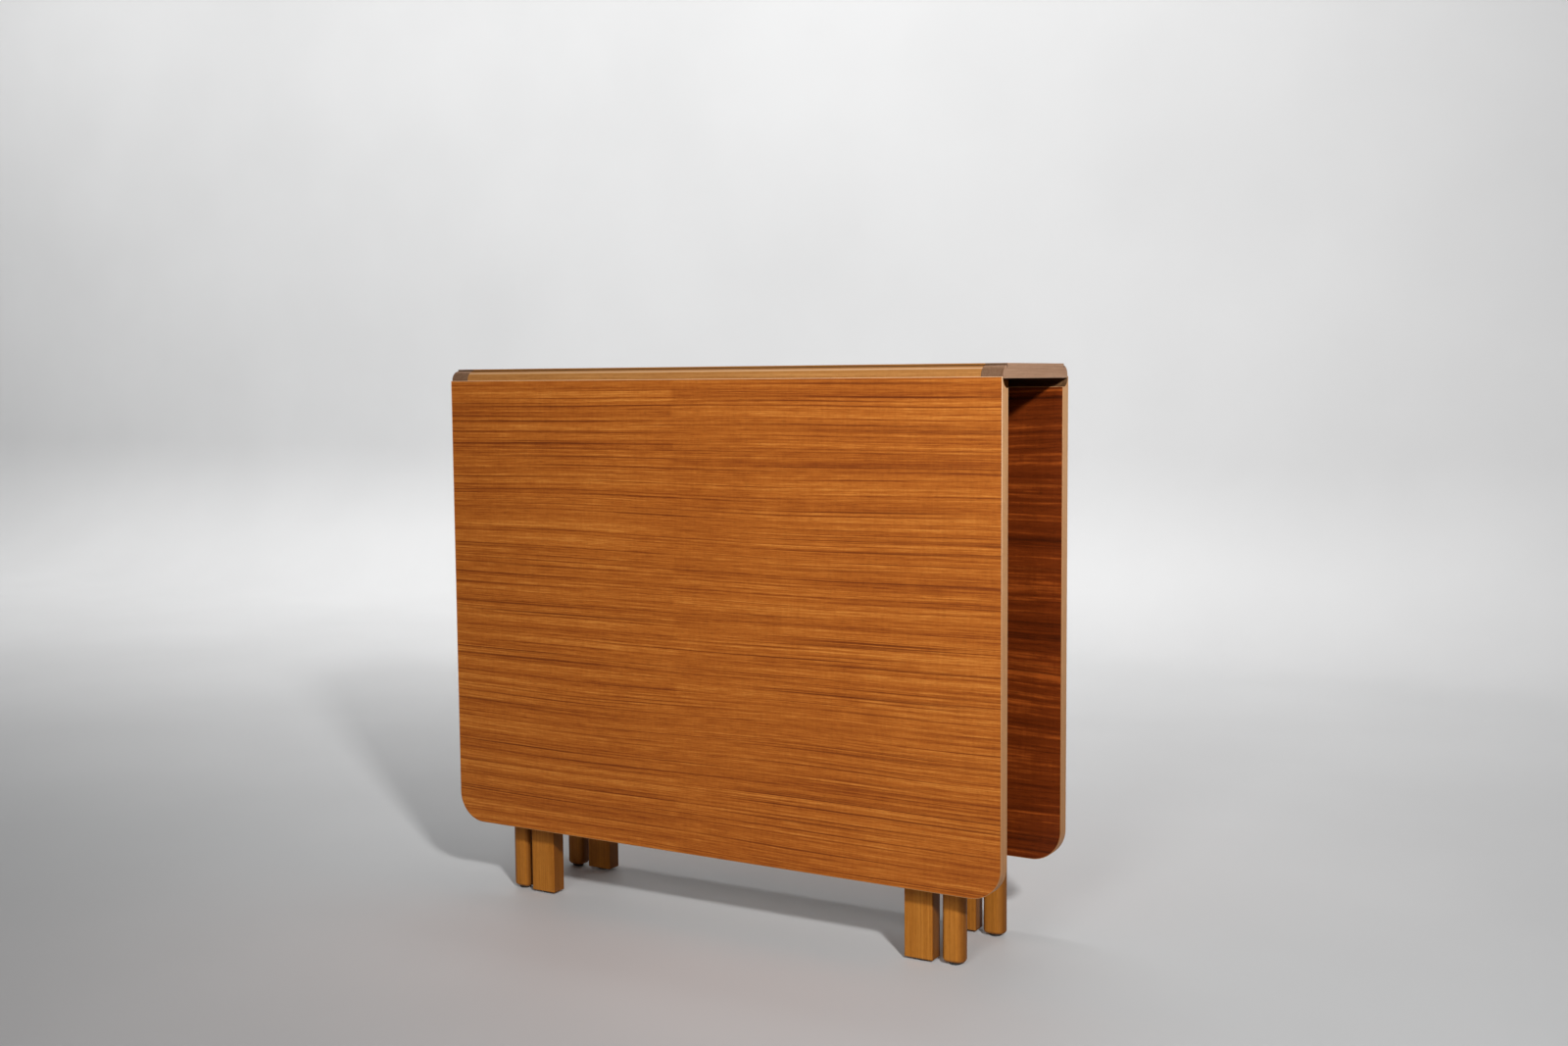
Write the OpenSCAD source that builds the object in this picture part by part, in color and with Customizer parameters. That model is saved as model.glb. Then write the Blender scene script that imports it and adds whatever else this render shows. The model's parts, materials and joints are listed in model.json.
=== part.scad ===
// Gate-leg drop-leaf table, folded: a narrow fixed top on four legs, two hanging
// leaves on rule joints, and four swinging gates that carry the leaves when raised.
// X runs along the top, Y from the front leaf to the rear leaf, Z up from the floor.
// The modules build the right-hand, rear (+X, +Y) side, and mirrored() places the others.

/* [Table] */
// Height of the upper surface above the floor
table_height = 737; // [700:1:760]
// Length of the fixed top and of both leaves
top_length = 830; // [800:1:900]
// Width of the flat part of the fixed top, between its two steps
flat_width = 181; // [176:1:220]
// Thickness of the fixed top and of the leaves
board_thickness = 18; // [18:0.5:20]
// Width of the cross-grained cap at each end of the fixed top
end_cap_width = 28; // [20:1:35]
// Width of the solid lipping that carries the quarter-round and the hinges
nose_lipping_width = 32; // [32:1:40]
// Thickness of every veneer
veneer_thickness = 0.8; // [0.6:0.1:1]
// Width of lipping that shows beside a veneered face, where the arris is eased
visible_strip = 1; // [0.8:0.1:3]

/* [Rule joint] */
// Radius of the quarter-round, which is centred on the hinge pin
nose_radius = 13; // [12.5:0.5:13.5]
// Height of the step above the quarter-round
nose_step = 2.5; // [2:0.5:2.5]
// Gap between the quarter-round and the leaf's cove
cove_gap = 0.5; // [0.4:0.1:0.8]
// Gap between the leaf's upper edge and the step when the leaf is raised
step_gap = 0.3; // [0.3:0.1:0.6]

/* [Leaves] */
// Height of a hanging leaf's lower edge above the floor
leaf_clearance = 99; // [80:1:104]
// Radius of the two free corners of a leaf
leaf_corner_radius = 40; // [20:1:60]
// Width of the solid lipping on a leaf's other three edges, mostly under the veneers
edge_lipping_width = 6; // [4:1:10]
// Width of the solid lipping that carries the cove and the hinges
cove_lipping_width = 55; // [54:1:70]
// Radius of the stop button that a gate leg swings against
stop_radius = 10; // [8:1:12]
// Height of the stop button
stop_height = 9; // [6:0.5:9.5]

/* [Fixed legs] */
// Gap between the gate legs' outer faces and the inside of a hanging leaf
leg_to_leaf = 11; // [10:0.5:14]
// Distance from the middle of the table to the middle of a fixed leg
fixed_leg_x = 336.5; // [330:0.5:345]
// Width of a fixed leg, along the table
fixed_leg_width = 29; // [26:1:36]
// Depth of a fixed leg, whose outer end is a full round of this diameter
fixed_leg_depth = 23; // [21:1:24]
// How far the fixed legs stand in from the gate legs' outer faces
fixed_leg_setback = 3; // [0:0.5:5]
// Radius of the two other upright edges of a fixed leg
fixed_leg_edge = 7; // [5:0.5:8]

/* [Gates] */
// Distance from the middle of the table to a gate's pivot
gate_pivot_x = 22; // [20:1:30]
// Size of the pivot post
post_size = 22; // [18:1:22]
// Distance from the middle of the table to the middle of a gate leg
gate_leg_x = 292.5; // [285:0.5:295]
// Width of a gate leg, along the table
gate_leg_width = 39; // [34:1:40]
// Depth of a gate leg
gate_leg_depth = 22.5; // [20:0.5:23]
// Thickness of the gate's rails
gate_rail_thickness = 18; // [14:1:18]
// Radius of the steel pivot pins
pivot_pin_radius = 5; // [4:0.5:6]
// Radial gap round a pivot pin in its block
pivot_pin_gap = 0.05; // [0.03:0.01:0.1]
// Angle through which a gate opens under a raised leaf, where its stop button stands
gate_swing = 60; // [45:1:75]

/* [Underframe] */
// Thickness of the long rails
long_rail_thickness = 20; // [16:1:22]
// Thickness of the rails between the legs of one end
end_rail_thickness = 18; // [14:1:20]
// Height of the upper rails
upper_rail_height = 45; // [35:1:50]
// Height of the lower rails
lower_rail_height = 28; // [22:1:34]
// Height of the lower rails' under edge above the floor
lower_rail_z = 110; // [106:1:130]
// Size of the square blocks that hold the top on the frame
fixing_block_size = 30; // [24:1:32]

/* [Hinges] */
// Width of a hinge
hinge_width = 38; // [32:1:44]
// Distance from the middle of the table to the outer hinges
hinge_spacing = 300; // [240:5:320]
// Thickness of the hinge plates, let in flush
plate_thickness = 1.6; // [1.2:0.1:1.6]
// Radius of the hinge knuckle
knuckle_radius = 3.1; // [3:0.1:3.3]
// Radius of the hinge pin
hinge_pin_radius = 1.5; // [1.2:0.1:1.6]
// Length of the plate under the fixed top, from the pin
fixed_plate_length = 30; // [28:1:30]
// Length of the plate on the leaf, from the pin
leaf_plate_length = 50; // [48:1:50]

/* [Hidden] */
$fn = 64;
cut = 1;                       // how far a cutting shape runs past a face
half_length = top_length / 2;
fine = 0.25;                   // gap beside a hinge's moving parts

// Rule joint: the pin is the centre of the quarter-round and of the cove
pin_y = flat_width / 2;
pin_z = table_height - nose_step - nose_radius;
pin_depth = table_height - pin_z;
underside_z = table_height - board_thickness;
under_pin = pin_z - underside_z;
nose_y = pin_y + nose_radius;
cove_radius = nose_radius + cove_gap;

// Hanging leaf
leaf_inner_y = pin_y - under_pin;
leaf_outer_y = pin_y + pin_depth;
leaf_length = pin_z - leaf_clearance;
cove_margin = 0.5;             // solid wood between the cove and the inner veneer
cove_run = cove_radius + cove_margin;

// Legs and gates
leg_face_y = leaf_inner_y - leg_to_leaf;
fixed_leg_y = leg_face_y - fixed_leg_setback - fixed_leg_depth / 2;
gate_leg_y = leg_face_y - gate_leg_depth / 2;
gate_pivot_y = gate_leg_y;
gate_clearance = 1;            // above a gate leg, and between a closed gate and the long rail
gate_leg_top = underside_z - gate_clearance;

// Underframe
long_rail_y = leg_face_y - gate_leg_depth - gate_clearance - long_rail_thickness;
upper_rail_z = underside_z - upper_rail_height;
end_rail_shift = 4.5;           // how far the end rails stand in from the legs' centre lines
end_rail_x = fixed_leg_x - end_rail_thickness / 2 - end_rail_shift;
end_rail_y = fixed_leg_y - fixed_leg_depth / 2;
upper_rail_extra = 5;          // how much lower the upper end rails reach than the long ones
lower_rail_extra = 2;          // the same above and below the lower long rails
fixing_block_height = 20;
tenon_thickness = 8;
tenon_length = 10;
tenon_shoulder = 6;

// Pivot blocks and posts
block_height = 16;
block_half_width = 44;
block_overhang = 1;            // how far a block stands past the legs' outer faces
upper_block_z = underside_z - block_height;
block_drop = 4;                // how far the lower blocks hang below the lower rails
lower_block_z = lower_rail_z - block_drop;
post_gap = 0.5;
post_low = lower_block_z + block_height + post_gap;
post_high = upper_block_z - post_gap;
pin_in_block = 12;
pin_in_post = 28;

// Gate rails
gate_upper_rail_z = 640;
gate_upper_rail_height = 50;
gate_rail_lift = 6;            // from a post's lower end to the lower rail
gate_lower_rail_z = post_low + gate_rail_lift;
gate_lower_rail_height = 38;

// [under edge, height] of the rails
long_rail_levels = [[upper_rail_z, upper_rail_height], [lower_rail_z, lower_rail_height]];
end_rail_levels = [
    [upper_rail_z - upper_rail_extra, upper_rail_height + upper_rail_extra],
    [lower_rail_z - lower_rail_extra, lower_rail_height + 2 * lower_rail_extra]
];
gate_rail_levels = [
    [gate_upper_rail_z, gate_upper_rail_height],
    [gate_lower_rail_z, gate_lower_rail_height]
];

// Hinges
hinge_places = [-hinge_spacing, 0, hinge_spacing];
fixed_knuckle = 14;
plate_cutback = knuckle_radius + 0.5;
groove_radius = knuckle_radius + 0.4;

// Screws
screw_radius = 1.6;
screw_head_radius = 3.2;
screw_head_height = 1.6;
hinge_screw_length = 12;
slot_width = 0.8;
slot_depth = 0.6;
screw_side = 12;               // sideways place of the two inner screws of a plate
fixed_screws = [[-screw_side, 11], [screw_side, 11], [0, 23]];
leaf_screws = [[-screw_side, 22], [screw_side, 22], [0, 42]];
frame_screw_radius = 2;
frame_screw_head = 4;
block_screw_x = 37;
block_screw_length = 38;
top_screw_length = 32;
stop_screw_length = 19;

// Glides
glide_radius = 8;
glide_height = 3;
nail_radius = 1.2;
nail_length = 14;

// Stop button: where the swung gate leg's leading face meets the leaf
gate_reach = gate_leg_x - gate_pivot_x;
stop_ahead = gate_leg_depth / 2 + stop_radius;
stop_x = gate_pivot_x + gate_reach * cos(gate_swing) - stop_ahead * sin(gate_swing);
stop_y = gate_pivot_y + gate_reach * sin(gate_swing) + stop_ahead * cos(gate_swing);
stop_z = pin_z - (stop_y - pin_y);

veneer_brown = [0.66, 0.38, 0.17];
veneer_red = [0.34, 0.14, 0.06];
lipping_tan = [0.72, 0.54, 0.36];
cap_brown = [0.45, 0.28, 0.16];
core_wood = [0.77, 0.62, 0.42];
leg_wood = [0.60, 0.38, 0.17];
rail_wood = [0.66, 0.48, 0.28];

/* ---- helpers ---- */

// Places a right-hand, rear shape on the side that the two signs name
module mirrored(side_x, side_y) {
    mirror([side_x < 0 ? 1 : 0, 0, 0])
        mirror([0, side_y < 0 ? 1 : 0, 0])
            children();
}

// Extrudes an outline drawn in Y and Z along the table
module along_x(x_low, x_high) {
    translate([x_low, 0, 0]) rotate([90, 0, 90]) linear_extrude(x_high - x_low) children();
}

// Extrudes an outline drawn in X and Z through a board that hangs
module through_y(y_low, y_high) {
    translate([0, y_high, 0]) rotate([90, 0, 0]) linear_extrude(y_high - y_low) children();
}

module box(low, high) {
    translate(low) cube([high.x - low.x, high.y - low.y, high.z - low.z]);
}

module rect(low, high) {
    translate(low) square([high.x - low.x, high.y - low.y]);
}

// A countersunk screw with a slotted head. It points up, and its head's face is at z = 0
module screw(radius, head_radius, head_height, length) {
    tip = radius * 2;
    difference() {
        union() {
            cylinder(r1 = head_radius, r2 = radius, h = head_height);
            translate([0, 0, head_height]) cylinder(r = radius, h = length - head_height - tip);
            translate([0, 0, length - tip]) cylinder(r1 = radius, r2 = radius / 4, h = tip);
        }
        box([-head_radius - cut, -slot_width / 2, -cut], [head_radius + cut, slot_width / 2, slot_depth]);
    }
}

// The hole that the same screw fills
module screw_hole(radius, head_radius, head_height, length) {
    tip = radius * 2;
    translate([0, 0, -cut]) cylinder(r = head_radius, h = cut);
    cylinder(r1 = head_radius, r2 = radius, h = head_height);
    translate([0, 0, head_height]) cylinder(r = radius, h = length - head_height - tip);
    translate([0, 0, length - tip]) cylinder(r1 = radius, r2 = radius / 4, h = tip);
}

module hinge_screw_shape(hole = false) {
    if (hole) screw_hole(screw_radius, screw_head_radius, screw_head_height, hinge_screw_length);
    else screw(screw_radius, screw_head_radius, screw_head_height, hinge_screw_length);
}

module frame_screw_shape(length, hole = false) {
    if (hole) screw_hole(frame_screw_radius, frame_screw_head, frame_screw_radius, length);
    else screw(frame_screw_radius, frame_screw_head, frame_screw_radius, length);
}

/* ---- fixed top ---- */

// Section of one long side from its inner edge to the quarter-round
module nose_section(inner_y, upper_z) {
    rect([inner_y, underside_z], [pin_y, upper_z]);
    rect([pin_y - visible_strip, underside_z], [pin_y, table_height]);
    rect([pin_y, underside_z], [nose_y, pin_z]);
    translate([pin_y, pin_z]) intersection() {
        circle(nose_radius);
        square(nose_radius);
    }
}

module top_core() {
    color(core_wood) difference() {
        box([-half_length + end_cap_width, -pin_y + nose_lipping_width, underside_z],
            [half_length - end_cap_width, pin_y - nose_lipping_width,
             table_height - veneer_thickness]);
        top_screws(hole = true);
    }
}

module top_veneer() {
    color(veneer_brown)
        box([-half_length + end_cap_width, -pin_y + visible_strip, table_height - veneer_thickness],
            [half_length - end_cap_width, pin_y - visible_strip, table_height]);
}

module top_lipping(side_y) {
    color(lipping_tan) mirrored(1, side_y) difference() {
        along_x(-half_length + end_cap_width, half_length - end_cap_width)
            nose_section(pin_y - nose_lipping_width, table_height - veneer_thickness);
        for (x = hinge_places) translate([x, pin_y, pin_z]) hinge_recess_in_top();
    }
}

module top_cap(side_x) {
    color(cap_brown) mirrored(side_x, 1) along_x(half_length - end_cap_width, half_length)
        for (side_y = [0, 1]) mirror([side_y, 0]) nose_section(0, table_height);
}

/* ---- hinges: each is drawn about its pin, with Y away from the top ---- */

module knuckles(x_low, x_high, bore) {
    translate([x_low, 0, 0]) rotate([0, 90, 0]) difference() {
        cylinder(r = knuckle_radius, h = x_high - x_low);
        translate([0, 0, -cut]) cylinder(r = bore, h = x_high - x_low + 2 * cut);
    }
}

module fixed_plate_screws(hole) {
    for (place = fixed_screws) translate([place.x, -place.y, -under_pin]) hinge_screw_shape(hole);
}

module leaf_plate_screws(hole) {
    for (place = leaf_screws)
        translate([place.x, -under_pin, -place.y]) rotate([-90, 0, 0]) hinge_screw_shape(hole);
}

// The plate under the top, with the middle knuckle
module fixed_plate() {
    half = hinge_width / 2;
    plate_top = plate_thickness - under_pin;
    difference() {
        union() {
            box([-half, -fixed_plate_length, -under_pin], [half, -plate_cutback, plate_top]);
            box([-fixed_knuckle / 2, -plate_cutback, -under_pin], [fixed_knuckle / 2, 0, plate_top]);
            knuckles(-fixed_knuckle / 2, fixed_knuckle / 2, hinge_pin_radius);
        }
        rotate([0, 90, 0]) cylinder(r = hinge_pin_radius, h = hinge_width, center = true);
        fixed_plate_screws(hole = true);
    }
}

// The plate on the hanging leaf, with the two outer knuckles
module leaf_plate() {
    half = hinge_width / 2;
    inner = fixed_knuckle / 2 + fine;
    plate_face = plate_thickness - under_pin;
    difference() {
        union() {
            box([-half, -under_pin, -leaf_plate_length], [half, plate_face, -plate_cutback]);
            for (side_x = [-1, 1]) mirrored(side_x, 1) {
                box([inner, -under_pin, -plate_cutback], [half, plate_face, 0]);
                knuckles(inner, half, hinge_pin_radius + pivot_pin_gap);
            }
        }
        rotate([0, 90, 0])
            cylinder(r = hinge_pin_radius + pivot_pin_gap, h = hinge_width + 2 * cut, center = true);
        leaf_plate_screws(hole = true);
    }
}

// The fixed plate's bed, the knuckle's groove and the slot through which the leaf's plate swings
module hinge_recess_in_top() {
    half = hinge_width / 2;
    side = half + 2 * fine;
    plate_top = plate_thickness - under_pin;
    box([-half, -fixed_plate_length, -under_pin - cut], [half, -plate_cutback, plate_top]);
    box([-side, -plate_cutback, -under_pin - cut], [side, nose_radius + cut, plate_top + fine]);
    rotate([0, 90, 0]) cylinder(r = groove_radius, h = 2 * side, center = true);
    fixed_plate_screws(hole = true);
}

// The leaf plate's bed
module hinge_recess_in_leaf() {
    half = hinge_width / 2;
    box([-half, -under_pin - cut, -leaf_plate_length], [half, plate_thickness - under_pin, 0]);
    leaf_plate_screws(hole = true);
}

module at_hinges(side_y) {
    for (x = hinge_places) mirrored(1, side_y) translate([x, pin_y, pin_z]) children();
}

module hinge_plates_fixed() {
    color("goldenrod") for (side_y = [-1, 1]) at_hinges(side_y) fixed_plate();
}

module hinge_pins() {
    color("silver") for (side_y = [-1, 1]) at_hinges(side_y)
        rotate([0, 90, 0]) cylinder(r = hinge_pin_radius, h = hinge_width, center = true);
}

module hinge_screws_fixed() {
    color("goldenrod") for (side_y = [-1, 1]) at_hinges(side_y) fixed_plate_screws(hole = false);
}

/* ---- leaves, drawn hanging ---- */

// Outline of a leaf in X and Z, drawn in from its real edge by inset
module leaf_outline(inset, upper_z) {
    half = half_length - inset;
    low = leaf_clearance + inset;
    radius = leaf_corner_radius - inset;
    rect([-half, low + radius], [half, upper_z]);
    rect([-half + radius, low], [half - radius, low + radius]);
    for (side_x = [-1, 1]) translate([side_x * (half - radius), low + radius]) circle(radius);
}

// Section of a hanging leaf in Y and Z, with its cove
module leaf_section(inner_y, outer_y, low, high) {
    difference() {
        rect([inner_y, low], [outer_y, high]);
        translate([pin_y, pin_z]) circle(cove_radius);
    }
}

module leaf_core(side_y) {
    color(core_wood) mirrored(1, side_y) difference() {
        through_y(leaf_inner_y + veneer_thickness, leaf_outer_y - veneer_thickness)
            leaf_outline(edge_lipping_width, pin_z - cove_lipping_width);
        stop_screws(hole = true);
    }
}

module leaf_face(side_y) {
    color(veneer_brown) mirrored(1, side_y)
        through_y(leaf_outer_y - veneer_thickness, leaf_outer_y)
            leaf_outline(visible_strip, pin_z - visible_strip);
}

module leaf_inner(side_y) {
    color(veneer_red) mirrored(1, side_y) difference() {
        through_y(leaf_inner_y, leaf_inner_y + veneer_thickness)
            leaf_outline(visible_strip, pin_z - cove_run);
        for (x = hinge_places) translate([x, pin_y, pin_z]) hinge_recess_in_leaf();
        stop_screws(hole = true);
    }
}

module leaf_cove(side_y) {
    low = pin_z - cove_lipping_width;
    high = pin_z - step_gap;
    end = half_length - edge_lipping_width;
    color(lipping_tan) mirrored(1, side_y) difference() {
        along_x(-end, end) {
            leaf_section(leaf_inner_y + veneer_thickness, leaf_outer_y - veneer_thickness, low, high);
            leaf_section(pin_y, leaf_outer_y, pin_z - visible_strip, high);
            leaf_section(leaf_inner_y, pin_y, pin_z - cove_run, pin_z - nose_radius);
        }
        for (x = hinge_places) translate([x, pin_y, pin_z]) hinge_recess_in_leaf();
    }
}

// The lipping stands between the veneers and shows beside them as a narrow strip.
// Above the veneers, at the cove, its ends show in full
module leaf_edge(side_y) {
    high = pin_z - step_gap;
    color(lipping_tan) mirrored(1, side_y) difference() {
        intersection() {
            along_x(-half_length, half_length)
                leaf_section(leaf_inner_y, leaf_outer_y, leaf_clearance, high);
            through_y(leaf_inner_y - cut, leaf_outer_y + cut) difference() {
                leaf_outline(0, high + cut);
                leaf_outline(edge_lipping_width, high + 2 * cut);
            }
        }
        through_y(leaf_outer_y - veneer_thickness, leaf_outer_y + cut)
            leaf_outline(visible_strip, pin_z - visible_strip);
        through_y(leaf_inner_y - cut, leaf_inner_y + veneer_thickness)
            leaf_outline(visible_strip, pin_z - cove_run);
    }
}

module leaf_stops(side_y) {
    color("sienna") for (side_x = [-1, 1]) mirrored(side_x, side_y) difference() {
        translate([stop_x, leaf_inner_y, stop_z])
            rotate([90, 0, 0]) cylinder(r = stop_radius, h = stop_height);
        stop_screws(hole = true);
    }
}

module stop_screws(hole) {
    for (side_x = [-1, 1]) mirrored(side_x, 1)
        translate([stop_x, leaf_inner_y - stop_height, stop_z])
            rotate([-90, 0, 0]) frame_screw_shape(stop_screw_length, hole);
}

module leaf_hinges(side_y) {
    color("goldenrod") at_hinges(side_y) leaf_plate();
}

module leaf_screws(side_y) {
    color("goldenrod") {
        at_hinges(side_y) leaf_plate_screws(hole = false);
        mirrored(1, side_y) stop_screws(hole = false);
    }
}

/* ---- fixed legs and underframe ---- */

// A fixed leg's section: a full round outward, two softly rounded edges inward
module fixed_leg_section() {
    half_depth = fixed_leg_depth / 2;
    outer = fixed_leg_width / 2;
    round_x = outer - half_depth;
    edge_x = fixed_leg_edge - outer;
    edge_y = half_depth - fixed_leg_edge;
    rect([edge_x, -half_depth], [round_x, half_depth]);
    rect([-outer, -edge_y], [edge_x, edge_y]);
    translate([round_x, 0]) circle(half_depth);
    for (side = [-1, 1]) translate([edge_x, side * edge_y]) circle(fixed_leg_edge);
}

module fixed_leg_body() {
    translate([fixed_leg_x, fixed_leg_y, glide_height])
        linear_extrude(underside_z - glide_height) fixed_leg_section();
}

module fixed_leg(side_x, side_y) {
    color(leg_wood) mirrored(side_x, side_y) difference() {
        fixed_leg_body();
        end_rail_tenons();
        translate([fixed_leg_x, fixed_leg_y, glide_height]) nail();
    }
}

module end_rail_tenons() {
    middle = end_rail_x + end_rail_thickness / 2;
    for (level = end_rail_levels)
        box([middle - tenon_thickness / 2, 0, level[0] + tenon_shoulder],
            [middle + tenon_thickness / 2, end_rail_y + tenon_length + tenon_shoulder,
             level[0] + level[1] - tenon_shoulder]);
}

module long_rail_tenon(level) {
    middle = long_rail_y + long_rail_thickness / 2;
    box([0, middle - tenon_thickness / 2, level[0] + tenon_shoulder],
        [end_rail_x + tenon_length, middle + tenon_thickness / 2,
         level[0] + level[1] - tenon_shoulder]);
}

module end_rails(side_x) {
    color(rail_wood) mirrored(side_x, 1) difference() {
        for (side_y = [-1, 1]) mirrored(1, side_y) {
            difference() {
                for (level = end_rail_levels)
                    box([end_rail_x, 0, level[0]],
                        [end_rail_x + end_rail_thickness, fixed_leg_y, level[0] + level[1]]);
                fixed_leg_body();
            }
            end_rail_tenons();
        }
        for (side_y = [-1, 1]) mirrored(1, side_y)
            for (level = long_rail_levels) long_rail_tenon(level);
    }
}

module long_rails(level) {
    color(rail_wood) for (side_y = [-1, 1]) mirrored(1, side_y) difference() {
        union() {
            box([-end_rail_x, long_rail_y, level[0]],
                [end_rail_x, long_rail_y + long_rail_thickness, level[0] + level[1]]);
            for (side_x = [-1, 1]) mirrored(side_x, 1) long_rail_tenon(level);
        }
        block_screws(hole = true);
    }
}

module pivot_blocks(block_z) {
    color(rail_wood) for (side_y = [-1, 1]) mirrored(1, side_y) difference() {
        box([-block_half_width, long_rail_y + long_rail_thickness, block_z],
            [block_half_width, leg_face_y + block_overhang, block_z + block_height]);
        for (side_x = [-1, 1])
            translate([side_x * gate_pivot_x, gate_pivot_y, post_low - pin_in_block - post_gap])
                cylinder(r = pivot_pin_radius + pivot_pin_gap,
                         h = post_high - post_low + 2 * (pin_in_block + post_gap));
        block_screws(hole = true);
    }
}

// Screws that hold the pivot blocks on the long rails, for the rear side
module block_screws(hole) {
    for (block_z = [upper_block_z, lower_block_z], side_x = [-1, 1])
        translate([side_x * block_screw_x, leg_face_y + block_overhang, block_z + block_height / 2])
            rotate([90, 0, 0]) frame_screw_shape(block_screw_length, hole);
}

// Screws up through the fixing blocks into the top
module top_screws(hole) {
    half = fixing_block_size / 2;
    for (x = [half - end_rail_x, 0, end_rail_x - half], side_y = [-1, 1])
        translate([x, side_y * (long_rail_y - half), underside_z - fixing_block_height])
            frame_screw_shape(top_screw_length, hole);
}

module fixing_blocks() {
    half = fixing_block_size / 2;
    color(rail_wood) difference() {
        for (x = [half - end_rail_x, 0, end_rail_x - half], side_y = [-1, 1])
            mirrored(1, side_y)
                box([x - half, long_rail_y - fixing_block_size, underside_z - fixing_block_height],
                    [x + half, long_rail_y, underside_z]);
        top_screws(hole = true);
    }
}

module frame_screws() {
    color("silver") {
        for (side_y = [-1, 1]) mirrored(1, side_y) block_screws(hole = false);
        top_screws(hole = false);
    }
}

/* ---- glides ---- */

// The nail that holds a glide, from the glide's upper face
module nail() {
    cylinder(r = nail_radius, h = nail_length);
}

// A glide with its nail, standing on the floor
module glide() {
    chamfer = 0.8;
    cylinder(r1 = glide_radius - chamfer, r2 = glide_radius, h = chamfer);
    translate([0, 0, chamfer]) cylinder(r = glide_radius, h = glide_height - chamfer);
    translate([0, 0, glide_height]) nail();
}

module frame_glides() {
    color("black") for (side_x = [-1, 1], side_y = [-1, 1])
        mirrored(side_x, side_y) translate([fixed_leg_x, fixed_leg_y, 0]) glide();
}

/* ---- gates ---- */

module gate_tenons() {
    for (level = gate_rail_levels)
        box([gate_pivot_x + post_size / 2 - tenon_length, gate_leg_y - tenon_thickness / 2,
             level[0] + tenon_shoulder],
            [gate_leg_x - gate_leg_width / 2 + tenon_length, gate_leg_y + tenon_thickness / 2,
             level[0] + level[1] - tenon_shoulder]);
}

module gate_leg(side_x, side_y) {
    color(leg_wood) mirrored(side_x, side_y) difference() {
        box([gate_leg_x - gate_leg_width / 2, gate_leg_y - gate_leg_depth / 2, glide_height],
            [gate_leg_x + gate_leg_width / 2, gate_leg_y + gate_leg_depth / 2, gate_leg_top]);
        gate_tenons();
        translate([gate_leg_x, gate_leg_y, glide_height]) nail();
    }
}

// The post is round towards the middle, so that it can turn beside the rail
module gate_post(side_x, side_y) {
    half = post_size / 2;
    color(leg_wood) mirrored(side_x, side_y) difference() {
        translate([gate_pivot_x, gate_pivot_y, post_low]) linear_extrude(post_high - post_low) {
            circle(half);
            rect([0, -half], [half, half]);
        }
        gate_tenons();
        gate_pins_body();
    }
}

module gate_rails(side_x, side_y) {
    color(leg_wood) mirrored(side_x, side_y) difference() {
        union() {
            for (level = gate_rail_levels)
                box([gate_pivot_x + post_size / 2, gate_leg_y - gate_rail_thickness / 2, level[0]],
                    [gate_leg_x - gate_leg_width / 2, gate_leg_y + gate_rail_thickness / 2,
                     level[0] + level[1]]);
            gate_tenons();
        }
        gate_pins_body();
    }
}

// Both pivot pins of one gate
module gate_pins_body() {
    for (low = [post_low - pin_in_block, post_high - pin_in_post])
        translate([gate_pivot_x, gate_pivot_y, low])
            cylinder(r = pivot_pin_radius, h = pin_in_block + pin_in_post);
}

module gate_pins(side_x, side_y) {
    color("silver") mirrored(side_x, side_y) gate_pins_body();
}

module gate_glide(side_x, side_y) {
    color("black") mirrored(side_x, side_y) translate([gate_leg_x, gate_leg_y, 0]) glide();
}

/* ---- nodes ---- */

top_core();
top_veneer();
top_lipping(-1);  // top_lipping_front
top_lipping(1);  // top_lipping_rear
top_cap(-1);  // top_cap_left
top_cap(1);  // top_cap_right
fixed_leg(-1, -1);  // leg_front_left
fixed_leg(1, -1);  // leg_front_right
fixed_leg(-1, 1);  // leg_rear_left
fixed_leg(1, 1);  // leg_rear_right
end_rails(-1);  // end_rails_left
end_rails(1);  // end_rails_right
long_rails(long_rail_levels[0]);  // long_rails_upper
long_rails(long_rail_levels[1]);  // long_rails_lower
pivot_blocks(upper_block_z);  // pivot_blocks_upper
pivot_blocks(lower_block_z);  // pivot_blocks_lower
fixing_blocks();
frame_screws();
frame_glides();
hinge_plates_fixed();
hinge_pins();
hinge_screws_fixed();
leaf_core(-1);  // leaf_front_core
leaf_face(-1);  // leaf_front_face
leaf_inner(-1);  // leaf_front_inner
leaf_cove(-1);  // leaf_front_cove
leaf_edge(-1);  // leaf_front_edge
leaf_stops(-1);  // leaf_front_stops
leaf_hinges(-1);  // leaf_front_hinges
leaf_screws(-1);  // leaf_front_screws
leaf_core(1);  // leaf_rear_core
leaf_face(1);  // leaf_rear_face
leaf_inner(1);  // leaf_rear_inner
leaf_cove(1);  // leaf_rear_cove
leaf_edge(1);  // leaf_rear_edge
leaf_stops(1);  // leaf_rear_stops
leaf_hinges(1);  // leaf_rear_hinges
leaf_screws(1);  // leaf_rear_screws
gate_leg(-1, -1);  // gate_front_left_leg
gate_post(-1, -1);  // gate_front_left_post
gate_rails(-1, -1);  // gate_front_left_rails
gate_pins(-1, -1);  // gate_front_left_pins
gate_glide(-1, -1);  // gate_front_left_glide
gate_leg(1, -1);  // gate_front_right_leg
gate_post(1, -1);  // gate_front_right_post
gate_rails(1, -1);  // gate_front_right_rails
gate_pins(1, -1);  // gate_front_right_pins
gate_glide(1, -1);  // gate_front_right_glide
gate_leg(-1, 1);  // gate_rear_left_leg
gate_post(-1, 1);  // gate_rear_left_post
gate_rails(-1, 1);  // gate_rear_left_rails
gate_pins(-1, 1);  // gate_rear_left_pins
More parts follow.
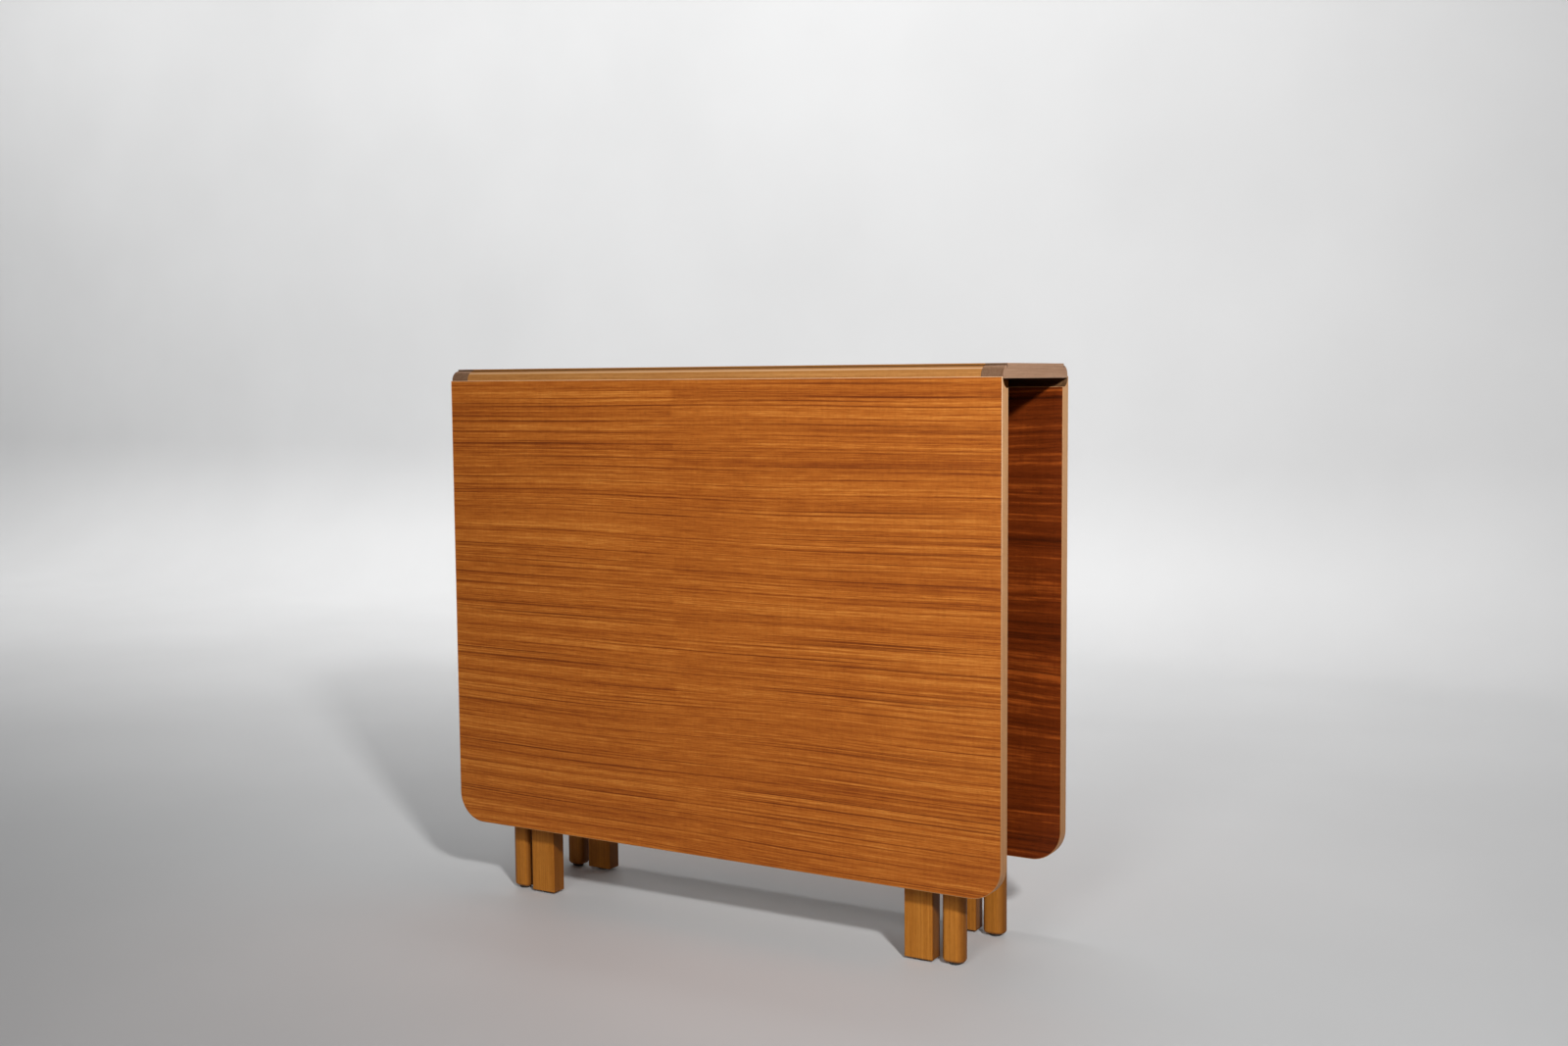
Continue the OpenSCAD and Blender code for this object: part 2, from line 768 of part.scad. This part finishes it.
gate_glide(-1, 1);  // gate_rear_left_glide
gate_leg(1, 1);  // gate_rear_right_leg
gate_post(1, 1);  // gate_rear_right_post
gate_rails(1, 1);  // gate_rear_right_rails
gate_pins(1, 1);  // gate_rear_right_pins
gate_glide(1, 1);  // gate_rear_right_glide
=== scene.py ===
"""Looks of the folded drop-leaf table: veneers, solid lippings, legs, fittings, light and camera."""
import json
import math

import bpy
from mathutils import Matrix, Vector


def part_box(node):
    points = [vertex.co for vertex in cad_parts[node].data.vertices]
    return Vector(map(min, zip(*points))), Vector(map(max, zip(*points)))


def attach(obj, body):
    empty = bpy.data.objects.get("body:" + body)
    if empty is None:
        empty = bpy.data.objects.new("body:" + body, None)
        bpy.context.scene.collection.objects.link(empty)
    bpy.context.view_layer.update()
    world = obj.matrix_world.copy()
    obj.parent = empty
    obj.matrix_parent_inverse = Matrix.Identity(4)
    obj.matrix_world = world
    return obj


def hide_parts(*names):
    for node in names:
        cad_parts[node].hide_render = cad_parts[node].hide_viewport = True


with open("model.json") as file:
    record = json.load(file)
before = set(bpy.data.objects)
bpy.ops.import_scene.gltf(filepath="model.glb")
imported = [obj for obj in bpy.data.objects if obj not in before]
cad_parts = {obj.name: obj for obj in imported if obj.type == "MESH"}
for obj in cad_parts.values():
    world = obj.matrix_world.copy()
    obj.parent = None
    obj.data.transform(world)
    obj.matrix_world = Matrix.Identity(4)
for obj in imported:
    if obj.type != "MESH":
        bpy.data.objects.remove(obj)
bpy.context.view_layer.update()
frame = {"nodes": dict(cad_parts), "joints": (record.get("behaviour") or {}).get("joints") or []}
nodes = frame["nodes"]
MM = 0.001


# ---- shader graph helpers -------------------------------------------------------------------

class Graph:
    """A material's node tree, with short calls for the nodes that the woods and metals share."""

    def __init__(self, name, roughness=0.5):
        self.material = bpy.data.materials.new(name)
        self.material.use_nodes = True
        self.tree = self.material.node_tree
        self.shader = self.tree.nodes["Principled BSDF"]
        self.shader.inputs["Roughness"].default_value = roughness
        self.coordinates = self.tree.nodes.new("ShaderNodeTexCoord")

    def node(self, kind, **settings):
        made = self.tree.nodes.new(kind)
        for key, value in settings.items():
            setattr(made, key, value)
        return made

    def link(self, output, socket):
        self.tree.links.new(output, socket)

    def put(self, value, socket):
        """Links an output to a socket, or sets the socket to a number, colour or vector."""
        if isinstance(value, bpy.types.NodeSocket):
            self.link(value, socket)
        else:
            socket.default_value = value

    def math(self, operation, first, second=0.0, clamp=False):
        made = self.node("ShaderNodeMath", operation=operation, use_clamp=clamp)
        self.put(first, made.inputs[0])
        self.put(second, made.inputs[1])
        return made.outputs[0]

    def vector(self, operation, first, second):
        made = self.node("ShaderNodeVectorMath", operation=operation)
        self.put(first, made.inputs[0])
        self.put(second, made.inputs[1])
        return made.outputs[0]

    def noise(self, vector, detail=2.0, roughness=0.5, colour=False):
        made = self.node("ShaderNodeTexNoise")
        self.link(vector, made.inputs["Vector"])
        made.inputs["Scale"].default_value = 1.0
        made.inputs["Detail"].default_value = detail
        made.inputs["Roughness"].default_value = roughness
        return made.outputs["Color" if colour else "Fac"]

    def ramp(self, value, stops):
        """stops are (place, colour) pairs; a colour may be one grey number."""
        made = self.node("ShaderNodeValToRGB")
        self.link(value, made.inputs[0])
        elements = made.color_ramp.elements
        while len(elements) < len(stops):
            elements.new(0.5)
        for element, (place, colour) in zip(elements, stops):
            element.position = place
            element.color = (*colour, 1.0) if hasattr(colour, "__len__") else (colour, colour, colour, 1.0)
        return made.outputs[0]

    def mix(self, factor, first, second, blend="MIX"):
        made = self.node("ShaderNodeMix", data_type="RGBA", blend_type=blend)
        self.put(factor, made.inputs[0])
        for value, socket in ((first, made.inputs[6]), (second, made.inputs[7])):
            self.put(value if isinstance(value, bpy.types.NodeSocket) else (*value, 1.0), socket)
        return made.outputs[2]

    def split(self, vector):
        """The X, Y and Z of a vector, as three outputs."""
        made = self.node("ShaderNodeSeparateXYZ")
        self.link(vector, made.inputs[0])
        return made.outputs

    def speckle(self, fineness, **kwargs):
        """Noise with the same fineness in every direction, in cells per metre."""
        place = self.coordinates.outputs["Object"]
        return self.noise(self.vector("MULTIPLY", place, (fineness,) * 3), **kwargs)

    def bump(self, height, distance):
        made = self.node("ShaderNodeBump")
        made.inputs["Distance"].default_value = distance
        self.link(height, made.inputs["Height"])
        self.link(made.outputs[0], self.shader.inputs["Normal"])


def linear(red, green, blue):
    """A colour given as 0 to 255 on a screen, as the renderer's linear light."""
    return tuple(((c / 255 + 0.055) / 1.055) ** 2.4 if c > 10 else c / 255 / 12.92
                 for c in (red, green, blue))


# ---- wood -----------------------------------------------------------------------------------

GRAIN_TURN = {"X": (0, 0, 0), "Y": (0, 0, -math.pi / 2), "Z": (0, math.pi / 2, 0)}
DRIFT_SCALE = (1.6, 5.0, 5.0)  # of the slow noise that bends the grain, in cells per metre

# Each part of the figure: cells per metre along the grain and across it, then detail and roughness
BANDS = (0.5, 45.0, 2.0, 0.6)
STRIPES = (1.8, 400.0, 2.0, 0.7)
SHIMMER = (230.0, 70.0, 2.0, 0.6)
PATCHES = (6.0, 2.5, 1.0, 0.5)
LINES = (1.3, 400.0, 2.0, 0.7)
FIBRES = (26.0, 560.0, 1.0, 0.7)
PORES = (110.0, 2300.0, 1.0, 0.5)

SWAP_WIDTH = 8 * MM        # over which one set of bands gives way to the next
SWAP_WAVER = 12 * MM       # how far that place wavers
SWAP_SHIFT = 17.0          # how far away in the noise the next set lies
TONE_REACH = (0.12, 0.88)  # where the darkest and the lightest tone are reached
RELIEF = 0.05 * MM         # depth of the open grain
SHEEN = 0.12               # specular level of the finish


def grain_space(g, grain, seed, wander):
    """Object coordinates turned so that X runs along the grain, and bent a little by slow noise."""
    turn = g.node("ShaderNodeMapping")
    turn.inputs["Rotation"].default_value = GRAIN_TURN[grain]
    turn.inputs["Location"].default_value = seed
    g.link(g.coordinates.outputs["Object"], turn.inputs["Vector"])
    slow = g.vector("MULTIPLY", turn.outputs[0], DRIFT_SCALE)
    drift = g.vector("SUBTRACT", g.noise(slow, detail=1.0, colour=True), (0.5, 0.5, 0.5))
    return g.vector("ADD", turn.outputs[0], g.vector("MULTIPLY", drift, (0.0, wander, wander)))


def end_grain(g, grain):
    """1 where a face cuts the fibres across, 0 where it runs along them."""
    along = g.split(g.coordinates.outputs["Normal"])["XYZ".index(grain)]
    return g.ramp(g.math("ABSOLUTE", along), [(0.15, 0.0), (0.75, 1.0)])


def wood(name, tones, grain, seed, wander=0.02, roughness=0.45, line=0.5, line_tone=None, band=1.0,
         stripe=1.0, figure=0.1, pore=0.3, coat=0.0, pitch=1.0, cut_shade=0.62, sheet=None, swap=None,
         marks=()):
    """Varnished wood. tones run from dark to light; line, band, stripe, figure and pore are strengths.
    pitch makes the stripes finer and cut_shade darkens end grain. sheet is the axis through a veneer, along
    which its figure doesn't change, and swap a place along the grain where its light and dark bands change
    over, as interlocked grain does. Each mark is a (mask(g), tone) pair."""
    g = Graph(name, roughness)
    space = grain_space(g, grain, seed, wander)

    def across(part, shift=0.0):
        along_scale, across_scale, detail, rough = part
        scale = [along_scale, across_scale * pitch, across_scale * pitch]
        if sheet:
            scale["XYZ".index(sheet)] = 0.0
        place = g.vector("ADD", g.vector("MULTIPLY", space, scale), (shift, shift, shift))
        return g.noise(place, detail=detail, roughness=rough)

    def sway(value, strength):
        return g.math("MULTIPLY", g.math("SUBTRACT", value, 0.5), strength)

    bands, stripes, shimmer = across(BANDS), across(STRIPES), across(SHIMMER)
    if swap is not None:
        past = g.math("SUBTRACT", g.split(space)[0], swap + seed[0])
        past = g.math("ADD", past, sway(shimmer, SWAP_WAVER))
        past = g.math("ADD", 0.5, g.math("DIVIDE", past, SWAP_WIDTH), clamp=True)
        change = g.math("SUBTRACT", across(BANDS, shift=SWAP_SHIFT), bands)
        bands = g.math("ADD", bands, g.math("MULTIPLY", past, change))

    tone = g.math("ADD", 0.5, sway(bands, 0.95 * band))
    tone = g.math("ADD", tone, sway(stripes, 1.4 * stripe))
    tone = g.math("ADD", tone, sway(shimmer, 2.2 * figure))
    tone = g.math("ADD", tone, sway(across(FIBRES), 7.5 * figure))
    tone = g.math("ADD", tone, sway(across(PATCHES), 0.3 * band), clamp=True)
    darkest, lightest = TONE_REACH
    places = [darkest + (lightest - darkest) * i / (len(tones) - 1) for i in range(len(tones))]
    colour = g.ramp(tone, list(zip(places, tones)))

    line_mask = g.ramp(across(LINES), [(0.34, line), (0.43, 0.0)])
    colour = g.mix(line_mask, colour, line_tone or tuple(0.45 * c for c in tones[0]))
    pore_mask = g.ramp(across(PORES), [(0.28, 1.0 - pore), (0.44, 1.0)])
    colour = g.mix(1.0, colour, pore_mask, blend="MULTIPLY")
    cut = g.mix(1.0, colour, (cut_shade, cut_shade * 0.95, cut_shade * 0.9), blend="MULTIPLY")
    colour = g.mix(end_grain(g, grain), colour, cut)
    for mask, shade in marks:
        colour = g.mix(mask(g), colour, shade)
    g.link(colour, g.shader.inputs["Base Color"])

    g.link(g.math("ADD", roughness - 0.05, g.math("MULTIPLY", shimmer, 0.1)), g.shader.inputs["Roughness"])
    g.shader.inputs["Coat Weight"].default_value = coat
    g.shader.inputs["Coat Roughness"].default_value = 0.25
    g.shader.inputs["Specular IOR Level"].default_value = SHEEN
    g.bump(g.math("ADD", g.math("MULTIPLY", pore_mask, 0.6), g.math("MULTIPLY", stripes, 0.4)), RELIEF)
    return g.material


# Tones from dark to light, as they look on a screen
FACE_TONES = [linear(134, 64, 19), linear(160, 84, 26), linear(180, 101, 35), linear(204, 127, 53)]
INNER_TONES = [linear(65, 23, 5), linear(92, 35, 7), linear(113, 47, 12), linear(163, 79, 26)]
NOSE_TONES = [linear(141, 88, 40), linear(166, 111, 57), linear(185, 130, 72), linear(204, 149, 91)]
EDGE_TONES = [linear(171, 118, 72), linear(194, 141, 93), linear(210, 158, 109), linear(224, 173, 125)]
CAP_TONES = [linear(140, 101, 73), linear(166, 125, 96), linear(182, 143, 114), linear(199, 161, 129)]
LEG_TONES = [linear(142, 81, 21), linear(164, 100, 32), linear(181, 115, 42), linear(197, 132, 57)]
RAIL_TONES = [linear(140, 100, 60), linear(162, 120, 76), linear(178, 136, 90), linear(192, 152, 106)]
CORE_TONES = [linear(176, 142, 98), linear(194, 160, 114), linear(208, 176, 130), linear(220, 190, 148)]
# The tones below are painted light: a near-black painted shade, a pale painted highlight, and three darker
# painted shades.
PAINTED_SHADE_TONE = linear(30, 19, 12)
PAINTED_HIGHLIGHT_TONE = linear(222, 182, 144)
NOSE_TOP_SHADE_TONE = linear(128, 78, 32)
EDGE_SHADE_TONE = linear(150, 98, 48)
LEG_SIDE_SHADE_TONE = linear(92, 48, 12)


def face_veneer(name, seed, sheet, swap=None):
    return wood(name, FACE_TONES, "X", seed, roughness=0.55, line=0.75, line_tone=linear(98, 42, 12),
                sheet=sheet, swap=swap)


def inner_veneer(name, seed):
    return wood(name, INNER_TONES, "X", seed, wander=0.03, roughness=0.38, line=0.4,
                line_tone=linear(44, 14, 4), figure=0.06, coat=0.1, stripe=0.8, pitch=0.4, sheet="Y")


def plain_wood(name, tones, grain, seed, **kwargs):
    return wood(name, tones, grain, seed, wander=0.008, line=0.12, figure=0.05, pore=0.25, stripe=0.45,
                band=0.6, pitch=1.2, **kwargs)


# ---- other materials ------------------------------------------------------------------------

def metal(name, colour, roughness, scratch):
    """Plain rolled or turned metal with fine scratches and duller patches."""
    g = Graph(name, roughness)
    patches = g.speckle(180.0, detail=3.0)
    place = g.vector("MULTIPLY", g.coordinates.outputs["Object"], (scratch, 2400.0, 2400.0))
    fine = g.noise(place, detail=1.0)
    duller = tuple(0.7 * c for c in colour)
    g.link(g.ramp(patches, [(0.3, duller), (0.7, colour)]), g.shader.inputs["Base Color"])
    g.link(g.math("ADD", roughness - 0.1, g.math("MULTIPLY", patches, 0.25)), g.shader.inputs["Roughness"])
    g.shader.inputs["Metallic"].default_value = 1.0
    g.bump(fine, 0.02 * MM)
    return g.material


def plastic(name, colour, roughness):
    """Moulded plastic, faintly pebbled and scuffed."""
    g = Graph(name, roughness)
    scuffed = tuple(c * 2.2 + 0.01 for c in colour)
    g.link(g.ramp(g.speckle(220.0), [(0.35, colour), (0.75, scuffed)]), g.shader.inputs["Base Color"])
    g.bump(g.speckle(1600.0), 0.04 * MM)
    return g.material


def floor_finish():
    """A plain pale surface with soft patches."""
    g = Graph("floor_finish", 0.6)
    g.link(g.ramp(g.speckle(1.5, detail=3.0), [(0.3, 0.66), (0.7, 0.70)]), g.shader.inputs["Base Color"])
    return g.material


# ---- painted shade and painted highlights ---------------------------------------------------

pin_y, pin_z = next(j["pos_m"][1:] for j in frame["joints"] if j["name"] == "leaf_rear_hinge")
NOSE_RADIUS = 13 * MM   # of the quarter-round, about the hinge pin
LEAF_REACH = 15.5 * MM  # from the hinge pin to a hanging leaf's outer face


def from_pin(g):
    """How far a point stands beyond the hinge pin, away from the table's middle, and above the pin."""
    _, y, z = g.split(g.coordinates.outputs["Object"])
    beyond = g.math("SUBTRACT", g.math("ABSOLUTE", y), pin_y)
    above = g.math("SUBTRACT", z, pin_z)
    return beyond, above


def between(g, value, low, high):
    """1 where the value lies between low and high, and 0 elsewhere."""
    return g.math("MULTIPLY", g.math("GREATER_THAN", value, low), g.math("LESS_THAN", value, high))


def painted_step_shade(g):
    """Painted shade: a dark line about 1.5 mm wide, in the corner at the foot of the step, where shade
    falls.
    """
    beyond, above = from_pin(g)
    width = g.math("ADD", 1.0 * MM, g.math("MULTIPLY", g.speckle(140.0), 1.0 * MM))
    beside = between(g, beyond, -0.2 * MM, width)
    level = between(g, above, NOSE_RADIUS - 3 * MM, NOSE_RADIUS + 0.9 * MM)
    return g.math("MULTIPLY", g.math("MULTIPLY", beside, level), 0.8)


def painted_cove_shade(g):
    """Painted shade in the hollow of a leaf's cove, dark all the way round to its two edges."""
    beyond, above = from_pin(g)
    square = g.math("ADD", g.math("MULTIPLY", beyond, beyond), g.math("MULTIPLY", above, above))
    hollow = g.math("LESS_THAN", g.math("SQRT", square), NOSE_RADIUS + 0.7 * MM)
    return g.math("MULTIPLY", hollow, 0.75)


def painted_arris_highlight(g):
    """Painted highlight on the outer arris of a leaf's lippings, paler most of all at the top."""
    beyond, above = from_pin(g)
    start = g.math("SUBTRACT", LEAF_REACH - 0.4 * MM, g.math("MULTIPLY", g.speckle(60.0), 1.2 * MM))
    higher = g.ramp(g.math("ADD", 1.0, above), [(0.45, 0.0), (0.95, 0.8)])
    return g.math("MULTIPLY", g.math("GREATER_THAN", beyond, start), higher)


def painted_nose_highlight(g):
    """Painted highlight: a pale line along the quarter-round, near its top."""
    above = from_pin(g)[1]
    aside = g.math("ABSOLUTE", g.math("SUBTRACT", above, NOSE_RADIUS - 3.2 * MM))
    return g.ramp(g.math("DIVIDE", aside, 10 * MM), [(0.05, 0.55), (0.12, 0.0)])


def painted_nose_top_shade(g):
    """Painted shade on the top of the quarter-round and the step above it, which look a little darker."""
    above = from_pin(g)[1]
    return g.ramp(g.math("DIVIDE", above, 20 * MM), [(0.54, 0.0), (0.58, 0.4)])


def painted_edge_shade(g):
    """Painted shade on a leaf's lippings, which are darker and browner toward the lower edge."""
    above = from_pin(g)[1]
    return g.ramp(g.math("ADD", 1.0, above), [(0.4, 0.65), (0.9, 0.0)])


def painted_leg_side_shade(g):
    """Painted shade on a leg's side faces, which are darker and browner than its front."""
    sideways = g.split(g.coordinates.outputs["Normal"])[0]
    return g.ramp(g.math("ABSOLUTE", sideways), [(0.35, 0.0), (0.9, 0.65)])


# ---- dressing the CAD nodes -----------------------------------------------------------------

SHARP_ANGLE = math.radians(40)  # an edge this sharp is an arris
FIXED_LEG_INNER_ROUND = 7 * MM
FIXED_LEG_END_ROUND = 5 * MM
GATE_LEG_ROUND = 1.5 * MM
GATE_LEG_END_ROUND = 1.2 * MM


def dress(name, material):
    node = nodes[name]
    node.data.materials.clear()
    node.data.materials.append(material)


def round_over(piece, width, segments=3, **settings):
    """Rounds a piece's arrises by this width."""
    arris = piece.modifiers.new("arris", "BEVEL")
    arris.width = width
    arris.segments = segments
    arris.limit_method = "ANGLE"
    arris.angle_limit = SHARP_ANGLE
    for key, value in settings.items():
        setattr(arris, key, value)
    even = piece.modifiers.new("even", "WEIGHTED_NORMAL")
    even.keep_sharp = False


def soften(name, width):
    """Rounds a node's arrises with modifiers; the CAD mesh itself stays as it is."""
    node = nodes[name]
    weld = node.modifiers.new("weld", "WELD")
    weld.merge_threshold = 0.01 * MM
    flat = node.modifiers.new("flat", "DECIMATE")
    flat.decimate_type = "DISSOLVE"
    flat.angle_limit = math.radians(0.5)
    round_over(node, width, miter_outer="MITER_ARC")
    for polygon in node.data.polygons:
        polygon.use_smooth = True


def arc(centre_x, centre_y, radius, start, end, steps=10):
    """Points along an arc, its ends included. Angles are in degrees."""
    turns = [math.radians(start + (end - start) * i / steps) for i in range(steps + 1)]
    return [(centre_x + radius * math.cos(t), centre_y + radius * math.sin(t)) for t in turns]


def rounded_outline(low, high, radii):
    """A rectangle's outline whose four corners, from low anticlockwise, have these radii."""
    a, b, c, d = radii
    return (arc(low.x + a, low.y + a, a, 180, 270) + arc(high.x - b, low.y + b, b, 270, 360)
            + arc(high.x - c, high.y - c, c, 0, 90) + arc(low.x + d, high.y - d, d, 90, 180))


def upright(name, outline, low_z, high_z, arris, material):
    """A post of this outline, with its ends' arrises rounded by arris."""
    count = len(outline)
    points = [(x, y, z) for z in (low_z, high_z) for x, y in outline]
    sides = [(i, (i + 1) % count, count + (i + 1) % count, count + i) for i in range(count)]
    mesh = bpy.data.meshes.new(name)
    mesh.from_pydata(points, [], sides + [tuple(reversed(range(count))), tuple(range(count, 2 * count))])
    for polygon in mesh.polygons:
        polygon.use_smooth = True
    mesh.materials.append(material)
    post = bpy.data.objects.new(name, mesh)
    bpy.context.scene.collection.objects.link(post)
    round_over(post, arris, segments=4, use_clamp_overlap=False)
    return post


def make_leg(node, body, seed, radii, arris):
    """A leg with softly rounded ends in place of the CAD node. radii are for the right-hand side."""
    low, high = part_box(node)
    if high.x < 0:
        radii = [radii[1], radii[0], radii[3], radii[2]]
    radii = [0.999 * r for r in radii]  # so that two full rounds don't share a point
    # The leg's side faces get painted shade.
    material = plain_wood(f"{node}_wood", LEG_TONES, "Z", seed, marks=[(painted_leg_side_shade, LEG_SIDE_SHADE_TONE)])
    leg = upright(f"{node}_shaped", rounded_outline(low, high, radii), low.z, high.z, arris, material)
    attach(leg, body)
    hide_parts(node)


def dress_top():
    dress("top_veneer", face_veneer("top_face_veneer", (3.1, 0.0, 1.7), "Z"))
    dress("top_core", plain_wood("top_core_wood", CORE_TONES, "X", (0.3, 0.2, 0.1)))
    # Painted light on the top's lippings: painted shade on the nose's top, a painted highlight line, and
    # painted shade in the step's corner.
    marks = [(painted_nose_top_shade, NOSE_TOP_SHADE_TONE), (painted_nose_highlight, PAINTED_HIGHLIGHT_TONE), (painted_step_shade, PAINTED_SHADE_TONE)]
    for side, seed in (("front", (1.2, 0.4, 0.0)), ("rear", (2.7, 1.9, 0.6))):
        finish = plain_wood(f"top_lipping_{side}_wood", NOSE_TONES, "X", seed, marks=marks)
        dress(f"top_lipping_{side}", finish)
    for side, seed in (("left", (0.5, 1.1, 0.2)), ("right", (1.7, 0.3, 2.2))):
        # The caps get painted shade in the corner at the foot of the step.
        finish = plain_wood(f"top_cap_{side}_wood", CAP_TONES, "Y", seed, cut_shade=0.42,
                            marks=[(painted_step_shade, PAINTED_SHADE_TONE)])
        dress(f"top_cap_{side}", finish)
        soften(f"top_cap_{side}", 0.6 * MM)


def dress_leaf(leaf, seed, swap=None):
    x, y, z = seed
    dress(f"{leaf}_face", face_veneer(f"{leaf}_face_veneer", seed, "Y", swap))
    dress(f"{leaf}_inner", inner_veneer(f"{leaf}_inner_veneer", (x + 2.0, y, z + 1.0)))
    dress(f"{leaf}_core", plain_wood(f"{leaf}_core_wood", CORE_TONES, "X", seed))
    # Painted shade in the cove's hollow and toward the lower edge, and a painted highlight on the outer
    # arris.
    marks = [(painted_cove_shade, PAINTED_SHADE_TONE), (painted_arris_highlight, PAINTED_HIGHLIGHT_TONE), (painted_edge_shade, EDGE_SHADE_TONE)]
    dress(f"{leaf}_cove", plain_wood(f"{leaf}_cove_wood", EDGE_TONES, "X", (x, y + 1.0, z), marks=marks))
    dress(f"{leaf}_edge", plain_wood(f"{leaf}_edge_wood", EDGE_TONES, "Z", (x, y + 2.0, z), marks=marks))
    dress(f"{leaf}_stops", plain_wood(f"{leaf}_stop_wood", LEG_TONES, "Y", (x, y, z + 3.0)))
    soften(f"{leaf}_cove", 0.8 * MM)
    soften(f"{leaf}_edge", 0.8 * MM)
    soften(f"{leaf}_stops", 1.0 * MM)
    for part in ("hinges", "screws"):
        dress(f"{leaf}_{part}", brass)


def dress_frame():
    for i, corner in enumerate(("front_left", "front_right", "rear_left", "rear_right")):
        name = f"leg_{corner}"
        low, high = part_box(name)
        full, inner = (high.y - low.y) / 2, FIXED_LEG_INNER_ROUND
        make_leg(name, "frame", (0.7 * i, 0.3, 1.1 * i), [inner, full, full, inner], FIXED_LEG_END_ROUND)
    rail_finish = plain_wood("long_rail_wood", RAIL_TONES, "X", (0.1, 0.9, 0.4))
    for name in ("long_rails_upper", "long_rails_lower", "pivot_blocks_upper", "pivot_blocks_lower",
                 "fixing_blocks"):
        dress(name, rail_finish)
        soften(name, 0.8 * MM)
    end_finish = plain_wood("end_rail_wood", RAIL_TONES, "Y", (0.6, 0.2, 1.3))
    for name in ("end_rails_left", "end_rails_right"):
        dress(name, end_finish)
    dress("frame_screws", steel)
    dress("hinge_pins", steel)
    dress("hinge_plates_fixed", brass)
    dress("hinge_screws_fixed", brass)
    dress("frame_glides", glide_finish)


def dress_gate(gate, seed):
    x, y, z = seed
    make_leg(f"{gate}_leg", gate, seed, [GATE_LEG_ROUND] * 4, GATE_LEG_END_ROUND)
    dress(f"{gate}_post", plain_wood(f"{gate}_post_wood", LEG_TONES, "Z", (x + 1.0, y, z)))
    dress(f"{gate}_rails", plain_wood(f"{gate}_rail_wood", LEG_TONES, "X", (x, y + 1.0, z)))
    dress(f"{gate}_pins", steel)
    dress(f"{gate}_glide", glide_finish)
    soften(f"{gate}_rails", 1.0 * MM)


brass = metal("dull_brass", linear(186, 150, 92), 0.38, 60.0)
steel = metal("plain_steel", linear(168, 170, 172), 0.34, 60.0)
glide_finish = plastic("glide_plastic", linear(28, 27, 26), 0.45)

dress_top()
dress_leaf("leaf_front", (0.0, 0.0, 0.0), swap=-45 * MM)
dress_leaf("leaf_rear", (5.2, 2.0, 3.3))
dress_frame()
for number, corner in enumerate(("front_left", "front_right", "rear_left", "rear_right")):
    dress_gate(f"gate_{corner}", (0.9 * number, 1.4, 0.8 * number))


# ---- floor, light and camera ----------------------------------------------------------------

def backdrop():
    """A pale floor that curves up into a pale wall behind the table."""
    near, far, bend, width, height = -6.0, 2.6, 0.5, 9.0, 4.5
    section = [(near, 0.0), (far - bend, 0.0)]
    steps = 12
    for i in range(1, steps):
        turn = math.pi / 2 * i / steps
        section.append((far - bend + bend * math.sin(turn), bend - bend * math.cos(turn)))
    section += [(far, bend), (far, height)]
    points = [(x, y, z) for y, z in section for x in (-width, width)]
    faces = [(2 * i, 2 * i + 1, 2 * i + 3, 2 * i + 2) for i in range(len(section) - 1)]
    mesh = bpy.data.meshes.new("floor")
    mesh.from_pydata(points, [], faces)
    for polygon in mesh.polygons:
        polygon.use_smooth = True
    floor = bpy.data.objects.new("floor", mesh)
    mesh.materials.append(floor_finish())
    bpy.context.scene.collection.objects.link(floor)


def softbox(name, place, target, size, power, spread):
    """A rectangular lamp at place that faces target. spread is in degrees."""
    light = bpy.data.lights.new(name, "AREA")
    light.shape = "RECTANGLE"
    light.size, light.size_y = size
    light.energy = power
    light.spread = math.radians(spread)
    lamp = bpy.data.objects.new(name, light)
    lamp.location = place
    lamp.rotation_euler = (Vector(target) - Vector(place)).to_track_quat("-Z", "Y").to_euler()
    bpy.context.scene.collection.objects.link(lamp)


def room_light():
    """Faint bluish light from all round."""
    world = bpy.data.worlds.new("room")
    world.use_nodes = True
    background = world.node_tree.nodes["Background"]
    background.inputs["Color"].default_value = (0.90, 0.95, 1.0, 1.0)
    background.inputs["Strength"].default_value = 0.08
    bpy.context.scene.world = world


def camera():
    """Standing to the right of the table's middle, at the height of its top, looking slightly down.
    Yaw turns from +Y toward +X, and roll tips the right-hand side up."""
    place = Vector((1.1949, -1.9486, 0.7208))
    yaw, pitch, roll = (math.radians(a) for a in (-30.217, -4.815, -0.465))
    forward = Vector((math.sin(yaw) * math.cos(pitch), math.cos(yaw) * math.cos(pitch), math.sin(pitch)))
    level = Vector((math.cos(yaw), -math.sin(yaw), 0.0))
    upright = level.cross(forward)
    right = math.cos(roll) * level + math.sin(roll) * upright
    up = math.cos(roll) * upright - math.sin(roll) * level
    lens = bpy.data.cameras.new("camera")
    lens.sensor_width = 36.0
    lens.lens = 39.33
    eye = bpy.data.objects.new("camera", lens)
    eye.matrix_world = Matrix.Translation(place) @ Matrix((right, up, -forward)).transposed().to_4x4()
    bpy.context.scene.collection.objects.link(eye)
    bpy.context.scene.camera = eye


backdrop()
room_light()
softbox("key", place=(2.33, -2.21, 2.03), target=(0.6, -0.1, 1.25), size=(0.25, 0.25), power=31, spread=90)
softbox("front", place=(0.7, -3.0, 1.9), target=(0.5, -0.1, 1.2), size=(0.8, 0.8), power=8, spread=90)
softbox("wall_wash", place=(-3.0, 0.9, 3.6), target=(-3.0, 2.6, 0.8), size=(7.0, 0.8), power=82, spread=110)
camera()
bpy.context.scene.view_settings.view_transform = "Standard"
